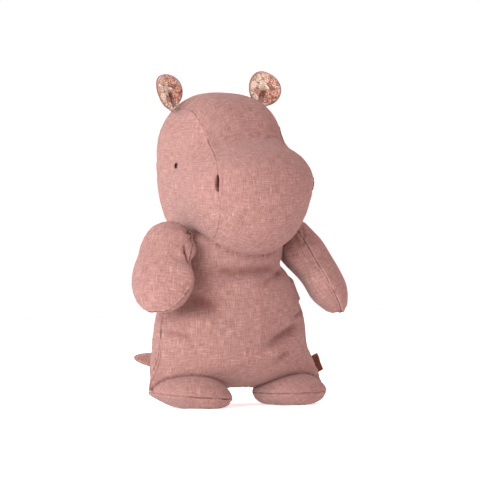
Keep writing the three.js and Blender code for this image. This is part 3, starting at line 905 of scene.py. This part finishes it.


# Folds: the line, its width, its depth (under 0 it stands out), the share of its length over which
# each end fades, and how much painted shade a pressed fold gets.
TRUNK_FOLDS = [
    # The waist: a valley across under the chin, with full cloth above and below it.
    ([(30, -12, 91.5), (17.8, -20.7, 90.4), (9, -23.6, 89.7), (1.3, -24.5, 89.6),
      (-11.5, -23.2, 88.8), (-17.9, -21, 88.5), (-23.6, -17.8, 89.5), (-28.5, -13.5, 91.5),
      (-34, -6, 94)], 4.2, 2.8, 0.3, 0.55),
    ([(-32.6, -7.8, 96.5), (-23.6, -16.6, 96.2), (-10.4, -22.8, 96.3), (2, -24, 96)], 3.5, -1.8, 0.25, 0),
    ([(-22, -19, 80), (-8, -24, 82), (6, -24, 83)], 5.0, -1.2, 0.3, 0),
    # The pinch at the left side, and the fold that runs down from it.
    ([(37, 14, 94), (38, 4, 93), (34, -8, 92.5), (27, -15, 90.5)], 3.6, 2.6, 0.15, 0.3),
    ([(33, -11, 89.5), (26.7, -16.2, 87.6), (16, -22, 85)], 3.0, 2.4, 0.45, 0.8),
    ([(28, -15.5, 88), (20.2, -20.3, 86.5), (15.3, -22.6, 85), (8, -25, 81.9), (0.8, -26.2, 78.2)],
     2.8, 1.3, 0.25, 0.6),
    ([(40, -10, 86), (46, -9, 76), (48.5, -9, 69)], 6.5, -2.2, 0.15, 0),
    # A pocket under the right arm.
    ([(-52, 3, 72.5), (-45.4, -5.7, 71.1), (-36.9, -15.2, 68.9), (-26.6, -22.1, 65.9), (-19, -25, 63)],
     6.6, 3.8, 0.42, 0.6),
    ([(-47, -4, 71.5), (-41.2, -11.2, 69.8), (-36.9, -15.2, 68.9), (-29, -20.7, 66.8)],
     4.5, 0.8, 0.45, 0.9),
    ([(-50, -4, 61), (-38, -17, 58), (-24, -25, 54)], 4.5, -1.0, 0.3, 0),
    ([(-58, 4, 51.5), (-52, -6.2, 48.8), (-47.7, -11.4, 47.5), (-41, -16, 46)], 3.0, 1.3, 0.3, 0.5),
    # Folds from the left hip down to the middle.
    ([(50, -4, 61.8), (45, -11, 61), (41.2, -14.6, 60), (31.8, -21, 57.7)], 1.6, 1.6, 0.2, 0.5),
    ([(44, -12, 58.8), (38.9, -16.8, 57.7), (28.9, -22.7, 54.9), (20, -26.2, 51.6), (12.2, -28.1, 48.6)],
     2.2, -1.0, 0.3, 0),
    ([(47, -9, 56), (39.7, -16.7, 54.1), (36.2, -19.4, 52), (25.2, -24.9, 47.7), (16.3, -27.7, 44.3),
      (9.8, -28.8, 41.3), (3.7, -29.3, 38.6), (-3, -29.2, 35.9)], 3.9, 3.4, 0.4, 0.6),
    ([(42, -16, 49), (27.8, -24.3, 42.8), (18.4, -27.4, 39.2), (10.3, -28.6, 35.6), (4, -28.4, 32.5)],
     3.4, -1.7, 0.25, 0),
    ([(33, -21, 38.5), (23.5, -25.9, 34.4), (15.9, -26.7, 30.3), (10.4, -24.6, 25.6)], 3.4, 2.0, 0.4, 0.35),
]


def make_trunk():
    body, lines = stuffed("trunk", trunk_patches(192, 240), cap=1.3)
    body.uneven((0.5, 38, 21), (0.15, 15, 22))
    x, _, z = body.points.T
    corner = smooth(2, 16, np.hypot(np.abs(x) - TRUNK_STATIONS[0][1], z - TRUNK_BOTTOM))
    draw = (0.8 + 0.5 * (1 - smooth(18, 40, z))) * corner
    body.seam(lines, 31, groove=0.45, soft=0.5, reach=5.0, pucker=0.42, period=5.4, line=1.15,
              draw=draw, thick=0.8)
    out = unit((body.points - [0, 4, 0]) * [1, 1.6, 0])
    for path, width, depth, ends, shade in TRUNK_FOLDS:
        body.stroke(body.laid(path), width, depth, ends, shade, out)
    return body


# ---------- arms ----------


def arm_frame(side):
    """The arm's root, and the directions across it, down it and out of its face."""
    turn, lean, aim = map(math.radians, (ARM["turn"], ARM_HANG[side]["lean"], ARM["lean_turn"]))
    across = np.array([side * math.sin(turn), math.cos(turn), 0])
    out = np.array([side * math.cos(aim), -math.sin(aim), 0])
    down = np.array([0, 0, -math.cos(lean)]) + out * math.sin(lean)
    face = unit(np.cross(across, down))
    return np.array([side * ARM["x"], ARM["y"], ARM["z"]]), across, down, face


def arm_patches(side, rows, cols):
    root, across, down, face = arm_frame(side)
    t = eased(rows)[:, None]
    end = rounding(t, ARM_ROLL["top"]) * rounding(1 - t, ARM_ROLL["tip"])
    outer, inner, thick = (station(ARM_STATIONS, t, k) * end for k in (1, 2, 3))
    patches = []
    for sign in (1, -1):
        angle = sign * np.linspace(0, math.pi, cols + 1)[None] - math.radians(ARM_SEAM_TURN[side])
        wide = np.where(np.cos(angle) > 0, outer, inner) * np.cos(angle)
        grid = (root + down * (ARM_HANG[side]["length"] * t)[..., None] + across * wide[..., None]
                + face * (thick * np.sin(angle))[..., None])
        patches.append(centred(grid, 200 * sign))
    return patches, side_lines(patches)


# The right arm's cloth doubles over at the armpit into a narrow leaf, and creases run to it over the
# top. The left arm has short gathers where it is closed at the shoulder. Columns as in TRUNK_FOLDS.
ARM_FOLDS = {
    -1: [
        ([(-58, -2, 119.5), (-50, -6, 118.5), (-44, -9, 115), (-41, -11, 110)], 3.0, 1.2, 0.3, 0.1),
        ([(-41, -12, 109), (-42, -14, 104), (-46, -18, 97)], 3.0, 1.0, 0.3, 0.0),
        ([(-43.5, -11, 112), (-49, -14.5, 108.5), (-52.5, -16.5, 106), (-53, -18, 102),
          (-52, -20.5, 96), (-51, -21.5, 93)], 0.7, 1.9, 0.15, 1.4),
        ([(-55.5, -15.5, 107), (-56, -17.5, 102), (-54.5, -20, 96)], 1.8, -0.8, 0.3),
        ([(-48, -14, 107), (-49.5, -17, 102), (-49.5, -19, 98)], 1.4, -0.6, 0.3),
        ([(-57, -4, 117.5), (-50, -8, 117), (-46, -10.5, 114.5), (-43, -11.5, 112)],
         0.7, 1.2, 0.2, 1.3),
    ],
    1: [
        ([(42, -8, 112), (44, -12, 106), (46, -14, 101)], 1.0, 0.8, 0.3, 0.7),
        ([(52, -6, 116), (53, -10, 110)], 1.1, 0.7, 0.4, 0.6),
    ],
}


def make_arm(side, trunk, head):
    body, lines = stuffed(f"arm_{SIDE_WORD[side]}", arm_patches(side, 168, 128), cap=0.55)
    body.uneven((0.4, 30, 41 + side), (0.12, 12, 43 + side))
    body.seam(lines, 51 + side, groove=0.5, soft=0.1, puff=0.25, pucker=0.24, period=4.2, line=0.9)
    root, _, down, _ = arm_frame(side)
    near = np.linalg.norm(body.points - root - down * ARM_HANG[side]["length"], axis=1)
    back = ARM_TIP["back"] * np.exp(-((near / ARM_TIP["reach"]) ** 2))
    body.points = body.points - down * back[:, None]
    if side > 0:
        fill_left_armpit(body, root, down)
    body.strokes(ARM_FOLDS[side])
    body.clear_of(trunk, head)
    return body


def fill_left_armpit(body, root, down):
    """The left arm's inner cheek is full enough to lie against the trunk."""
    inward, height = LEFT_ARMPIT["way"], body.points[:, 2]
    axis = root + down * ((root[2] - height) / -down[2])[:, None]
    share = smooth(0, LEFT_ARMPIT["soft"], (body.points - axis) @ inward)
    share = share * np.exp(-(((height - LEFT_ARMPIT["z"]) / LEFT_ARMPIT["spread"]) ** 2))
    body.points = body.points + inward * (LEFT_ARMPIT["full"] * share)[:, None]


# ---------- feet ----------


def foot_patches(side, cols, sole_rows, upper_rows):
    angle = np.linspace(0, 2 * math.pi, cols + 1)[None]

    def oval(long, front, back, shift, z, tip):
        """Rings round the foot; tip is the share of the seam's slope that they have."""
        deep = np.where(np.sin(angle) > 0, back, front) * np.sin(angle)
        x = FOOT["long"] * long * np.cos(angle) - side * shift
        slope = SEAM_SLOPE[side] * tip * side * np.cos(angle)
        return np.stack([x, FOOT["short"] * deep, z + slope], -1)

    rise = np.linspace(0, 1, sole_rows + 1)[:, None]
    inner = smooth(0.3, -0.6, side * np.cos(angle))
    under = (1 - rise) ** (SOLE_EDGE["spread"] + SOLE_ROUND[side] * (inner if side < 0 else 1))
    reach = [1 - (1 - SOLE[way]) * under for way in ("long", "front", "back")]
    climb = rise ** SOLE_EDGE["rise"]
    sole = oval(*reach, SOLE_INWARD[side] * under, FOOT["seam"] * climb, climb)
    inside = np.linspace(0, 1, 13)[:-1][:, None, None]
    centre = np.array([-side * SOLE_INWARD[side], 0, 0])
    flat = centre + (sole[:1] - centre) * inside
    sole = np.concatenate([flat, sole])
    turn = math.pi / 2 * np.linspace(0, 1, upper_rows + 1)[:, None]
    share = np.cos(turn)
    share[-1] = 0
    height = FOOT["seam"] + (FOOT_TOP[side] - FOOT["seam"]) * np.sin(turn)
    upper = oval(share, share, share, 0, height, share**2)

    def put(grid):
        return turned(grid, "Z", side * FOOT["turn"]) + [side * FOOT["x"], FOOT["y"], 0]

    patches = []
    for grid, shift in ((sole, 0), (upper[::-1], 90)):
        reach = along(grid, 0)
        uv = np.stack([reach * np.cos(angle) + shift, reach * np.sin(angle)], -1)
        patches.append(patch(put(grid), uv))
    return patches, [put(upper)[0]]


def make_foot(side, trunk):
    panels = foot_patches(side, 300, 48, 80)
    body, lines = stuffed(f"leg_{SIDE_WORD[side]}", panels, cap=0.5, keep=0.0)
    body.uneven((0.25, 20, 61 + side), share=smooth(0, 3, body.points[:, 2]))
    inner = smooth(1.0, -0.5, side * (body.points[:, 0] - side * FOOT["x"]) / FOOT["long"])
    draw = 0.25 + 0.75 * inner if side < 0 else np.full(len(inner), 0.6)
    body.seam(lines, 71 + side, groove=0.5, soft=0.8, reach=1.5, pucker=0.16, period=4.0, line=0.9,
              draw=draw, worn=0.4, puff=0.5)
    body.clear_of(trunk)
    body.points[:, 2] = np.maximum(body.points[:, 2], 0)
    return body


# ---------- ears ----------


def ear_width(z):
    """Half width of the ear's outline at a height above its pinched base."""
    dome = np.sqrt(np.maximum(EAR["radius"] ** 2 - (z - EAR["rise"]) ** 2, 0))
    t = z / (EAR["rise"] + EAR["radius"])
    pinch = np.minimum(1, EAR_STEM["pinch"] + EAR_STEM["widen"] * t)
    stem = (EAR_STEM["wide"] + EAR_STEM["widen"] * t) * pinch
    return np.where(z > EAR["rise"], dome, np.maximum(dome, stem))


def ear_patches(share, ahead, behind, rows, cols):
    """A cupped cushion in the ear's own frame: front panel first, then the back one."""
    z = (EAR["rise"] + EAR["radius"]) * eased(rows)[:, None]
    reach = ear_width(z) * share
    middle = EAR["rise"] * 0.55
    height = middle + (z - middle) * share
    full = np.minimum(1, 3 * reach / EAR["radius"])
    angle = np.linspace(0, math.pi, cols + 1)[None]
    rim = np.sin(angle)
    rim[:, [0, -1]] = 0
    x = reach * np.cos(angle)
    fold = EAR["cup"] * (np.abs(x) / EAR["radius"]) ** 1.5
    patches = []
    for thick, sign in ((ahead, -1), (behind, 1)):
        grid = np.stack([x, sign * thick * rim * full - fold, height + 0 * x], -1)
        patches.append(patch(grid, np.stack([x + 40 * sign, height + 0 * x], -1)))
    return patches, side_lines(patches)


def place_ear(points, side):
    points = turned(points, "X", -EAR_LEAN["back"])
    points = turned(points, "Y", side * EAR_LEAN["out"])
    points = turned(points, "Z", -side * EAR_LEAN["turn"])
    return points + [side * EAR["x"], EAR["y"], EAR["z"] - EAR_DROP[side]]


EAR_FOLD = [(0, -3, -4), (0, -3, 6), (0.2, -3, 12), (0.4, -3, 17)]
# The first line presses the ear's fold in a little and paints shade along it; the second presses it in
# deep.
LINING_FOLDS = [
    (EAR_FOLD, 1.5, 0.4, 0.3, 5.0),
    (EAR_FOLD, 1.6, 2.6, 0.3, 0.0),
    ([(-4, -4, 0), (-5.5, -4.5, 9)], 0.9, 0.6, 0.3),
    ([(3.5, -4, 0), (4.5, -4.5, 7)], 0.9, 0.7, 0.3),
    ([(-1, -4, 21), (-3, -4.5, 16)], 0.8, 0.5, 0.3),
]


def make_ear(side, head):
    """The linen back and the printed lining. The lining still comes through the back behind."""
    half = EAR["thick"] / 2
    patches, lines = ear_patches(1.0, half, half, 90, 60)
    back = Body(f"ear_{SIDE_WORD[side]}", patches)
    back.seam(lines, 81 + side, groove=0.25, soft=0.2, reach=1.6, pucker=0.16, period=2.6)
    back.stroke([(0, 3, 2), (0, 3, 12), (0, 2.5, 20)], 1.4, -0.5, 0.3)
    back.points = place_ear(back.points, side)
    back.clear_of(head)
    patches, lines = ear_patches(LINING["share"], half + LINING["thick"], 0.5, 90, 60)
    lining = Body(f"ear_lining_{SIDE_WORD[side]}", patches)
    rim = np.hypot(lining.points[:, 0], np.maximum(lining.points[:, 2] - EAR["rise"], 0))
    edge = EAR["radius"] * LINING["share"]
    lining.fade = smooth(edge - 1.0, edge - 0.4, rim)
    lining.uneven((0.3, 9, 91 + side))
    lining.strokes(LINING_FOLDS)
    lining.points = place_ear(lining.points, side)
    lining.clear_of(back, inward=False)
    lining.clear_of(head)
    return back, lining


# ---------- tail and tag ----------


def tail_patches(rows, cols):
    start = np.array([0, TAIL["y"], TAIL["z"]])
    elbow = np.array([-2, TAIL["y"] + TAIL["length"] * 0.55, TAIL["z"] - 1])
    tip = np.array([-TAIL["sideways"], TAIL["y"] + TAIL["length"] * 0.82, TAIL["z"] + 3.6])
    t = eased(rows)[:, None, None]
    middle = start * (1 - t) ** 2 + elbow * 2 * t * (1 - t) + tip * t * t
    way = (elbow - start) * 2 * (1 - t) + (tip - elbow) * 2 * t
    aside = unit(np.concatenate([way[..., 1:2], -way[..., :1], 0 * t], -1))
    leaf = (rounding(1 - t, TAIL["tip_round"]) * (1 + rounding(t, TAIL["swell"]))) / 4
    up = np.array([0, 0, 1.0])
    patches = []
    for sign in (1, -1):
        angle = np.linspace(-math.pi / 2, math.pi / 2, cols + 1)[None, :, None]
        round_ = np.cos(angle)
        round_[:, [0, -1]] = 0
        grid = (middle + aside * TAIL["thick"] * leaf * round_ * sign
                + up * TAIL["wide"] * leaf * np.sin(angle))
        reach = along(grid, 1)
        length = along(grid, 0)[:, [cols // 2]]
        uv = np.stack([length + 0 * reach, reach - reach[:, [cols // 2]] + 60 * sign], -1)
        patches.append(patch(grid, uv))
    return patches, side_lines(patches)


def make_tail(trunk):
    patches, lines = tail_patches(150, 36)
    body = Body("tail", patches)
    body.uneven((0.2, 10, 101))
    body.seam(lines, 103, groove=0.3, soft=0.25, reach=1.5, pucker=0.16, period=3.0)
    # Painted shade: the whole tail a little darker.
    body.shade(0.14)
    body.clear_of(trunk)
    return body


def tag_profile(count):
    """The folded strip's outline, seen from above: out along one ply, round the fold and back, then
    the same inside. Each stretch has count points."""
    outer, inner = TAG["ply"] + TAG["gap"] / 2, TAG["gap"] / 2
    straight = TAG["out"] - outer
    line = np.linspace(-TAG["sewn_in"], straight, count)
    turn = np.linspace(-math.pi / 2, math.pi / 2, count)
    y = np.concatenate([-np.ones(count), np.sin(turn), np.ones(count)])
    loop = [np.stack([np.concatenate([line, straight + radius * np.cos(turn), line[::-1]]),
                      way * radius * y], -1) for radius, way in ((outer, 1), (inner, -1))]
    return np.concatenate([*loop, loop[0][:1]])


def make_tag():
    profile = tag_profile(26)
    levels = np.concatenate([[0, 0.25, 0.6], np.linspace(1.2, TAG["tall"] - 1.2, 60),
                             TAG["tall"] - np.array([0.6, 0.25, 0])])
    edge = np.minimum(levels, TAG["tall"] - levels)
    inset = 0.22 * (1 - rounding(edge, 0.5))
    sweep = []
    for z, shrink in zip(levels, inset):
        wave = 0.12 * math.sin(z * 0.9) + 0.06 * math.sin(z * 2.3 + 1)
        ring = profile.copy()
        ring[:, 0] += wave * smooth(1.5, TAG["out"], ring[:, 0])
        ring[:, 1] += 0.15 * math.sin(z * 0.5) * smooth(0, TAG["out"], ring[:, 0])
        ring[:, 0] -= shrink * smooth(1, TAG["out"], ring[:, 0])
        sweep.append(np.concatenate([ring, np.full((len(ring), 1), z - TAG["tall"] / 2)], 1))
    grid = np.array(sweep)
    n = (len(profile) - 1) // 2
    outer, inner = grid[:, :n], grid[:, n:-1][:, ::-1]
    caps = [np.stack([outer[k], inner[k]]) for k in (0, -1)]
    patches = [patch(grid, np.stack([along(grid, 1), grid[..., 2]], -1))]
    patches += [patch(cap, cap[..., :2]) for cap in caps]
    body = Body("side_tag", patches)
    out = body.points[:, 0]
    body.fade = smooth(TAG["out"] - 1.3, TAG["out"] - 0.4, out) * 0.9
    rim = smooth(TAG["tall"] / 2 - 0.5, TAG["tall"] / 2, np.abs(body.points[:, 2]))
    body.fade = np.maximum(body.fade, 0.8 * rim)
    # Painted shade where the tag goes into the seam.
    body.crease = smooth(1.5, -0.5, out) * 0.8
    points = turned(body.points, "Y", -TAG["tilt"])
    seat = [station(TRUNK_STATIONS, TAG["z"], 1), station(TRUNK_STATIONS, TAG["z"], 4), TAG["z"]]
    body.points = points + np.array(seat, float)
    piece = body.build(LEATHER)
    return finish_piece(piece, "leather", "side_tag")


# ---------- make the toy ----------

FILL = {"head": 0.95, "trunk": 0.85, "tail": 0.6, "arm": 0.9, "leg": 0.9, "ear": 0.5, "ear_lining": 0.4}


def finish_body(body):
    """Builds a stuffed piece in linen, or in the print for an ear's lining, and hangs it under the root."""
    kind = body.name.replace("_left", "").replace("_right", "")
    printed = kind == "ear_lining"
    piece = body.build(PRINT if printed else LINEN)
    finish_piece(piece, "ear_print" if printed else "linen", body.name, fill=FILL[kind])


trunk_body = make_trunk()
head_body = make_head(trunk_body)
bodies = [trunk_body, head_body, make_tail(trunk_body)]
make_tag()
for own_side in (-1, 1):
    make_eye(own_side)
    arm_body = make_arm(own_side, trunk_body, head_body)
    foot_body = make_foot(own_side, trunk_body)
    ear_body, lining_body = make_ear(own_side, head_body)
    # Painted shade where the pieces meet, on both of them.
    for above, below, width, strength in (
            (foot_body, trunk_body, 1.5, 0.8), (arm_body, trunk_body, 1.6, 0.7),
            (arm_body, head_body, 0.8, 0.5), (ear_body, head_body, 0.5, 0.5)):
        above.darken_near(below, width, strength)
        below.darken_near(above, width, strength)
    # Painted shade on the trunk under each arm.
    trunk_body.darken_near(arm_body, 3.4, 0.65)
    bodies += [arm_body, foot_body, ear_body, lining_body]
# Painted shade under the chin on both pieces, and round the tail's root.
head_body.darken_near(trunk_body, 1.0, 0.55)
trunk_body.darken_near(head_body, 2.2, 0.6)
trunk_body.darken_near(bodies[2], 1.0, 0.5)
for stuffed_body in bodies:
    finish_body(stuffed_body)

# ---------- floor, light and camera ----------


def make_floor():
    mesh = bpy.data.meshes.new("floor")
    size = 1.2
    mesh.from_pydata([(-size, -size, 0), (size, -size, 0), (size, size, 0), (-size, size, 0)], [],
                     [(0, 1, 2, 3)])
    mesh.materials.append(floor_material("floor"))
    floor = placed("floor", mesh)


def aimed(name, data, azimuth, elevation, middle, distance):
    """A lamp or camera that looks at the middle from a compass angle (0 is the front) and a height."""
    a, e = math.radians(azimuth), math.radians(elevation)
    away = Vector((math.sin(a) * math.cos(e), -math.cos(a) * math.cos(e), math.sin(e)))
    made = placed(name, data)
    made.location = middle + away * distance
    made.rotation_mode = "QUATERNION"
    made.rotation_quaternion = (-away).to_track_quat("-Z", "Y")
    return made


def area_light(name, azimuth, elevation, distance, size, power, colour):
    """A soft round lamp."""
    data = bpy.data.lights.new(name, "AREA")
    data.shape = "DISK"
    data.size = size
    data.energy = power
    data.color = colour
    aimed(name, data, azimuth, elevation, Vector((0, 0, 0.11)), distance)


def make_world(colour):
    """Even white surroundings, which are also the backdrop."""
    world = bpy.data.worlds.new("studio")
    world.use_nodes = True
    world.node_tree.nodes["Background"].inputs[0].default_value = (*colour, 1)
    bpy.context.scene.world = world


def make_camera(azimuth, elevation, lens, distance, target):
    data = bpy.data.cameras.new("camera")
    data.lens = lens
    data.sensor_width = 36
    data.clip_start, data.clip_end = 0.1, 20
    bpy.context.scene.camera = aimed("camera", data, azimuth, elevation, target, distance)


VIEW = {"azimuth": -35, "elevation": 1.5, "lens": 400, "right": 2.6, "height": 109.0, "far": 8.756}
turn = math.radians(VIEW["azimuth"])
aim = Vector(ORIGIN) + Vector((math.cos(turn), math.sin(turn), 0)) * VIEW["right"] * MM
aim.z = VIEW["height"] * MM
make_camera(VIEW["azimuth"], VIEW["elevation"], VIEW["lens"], VIEW["far"] * VIEW["lens"] * MM, aim)
make_floor()
make_world((1.19, 1.0, 1.0))
area_light("key", -70, 8, 1.6, 1.2, 48, (0.9, 1.04, 1.07))
bpy.context.scene.view_settings.view_transform = "Standard"
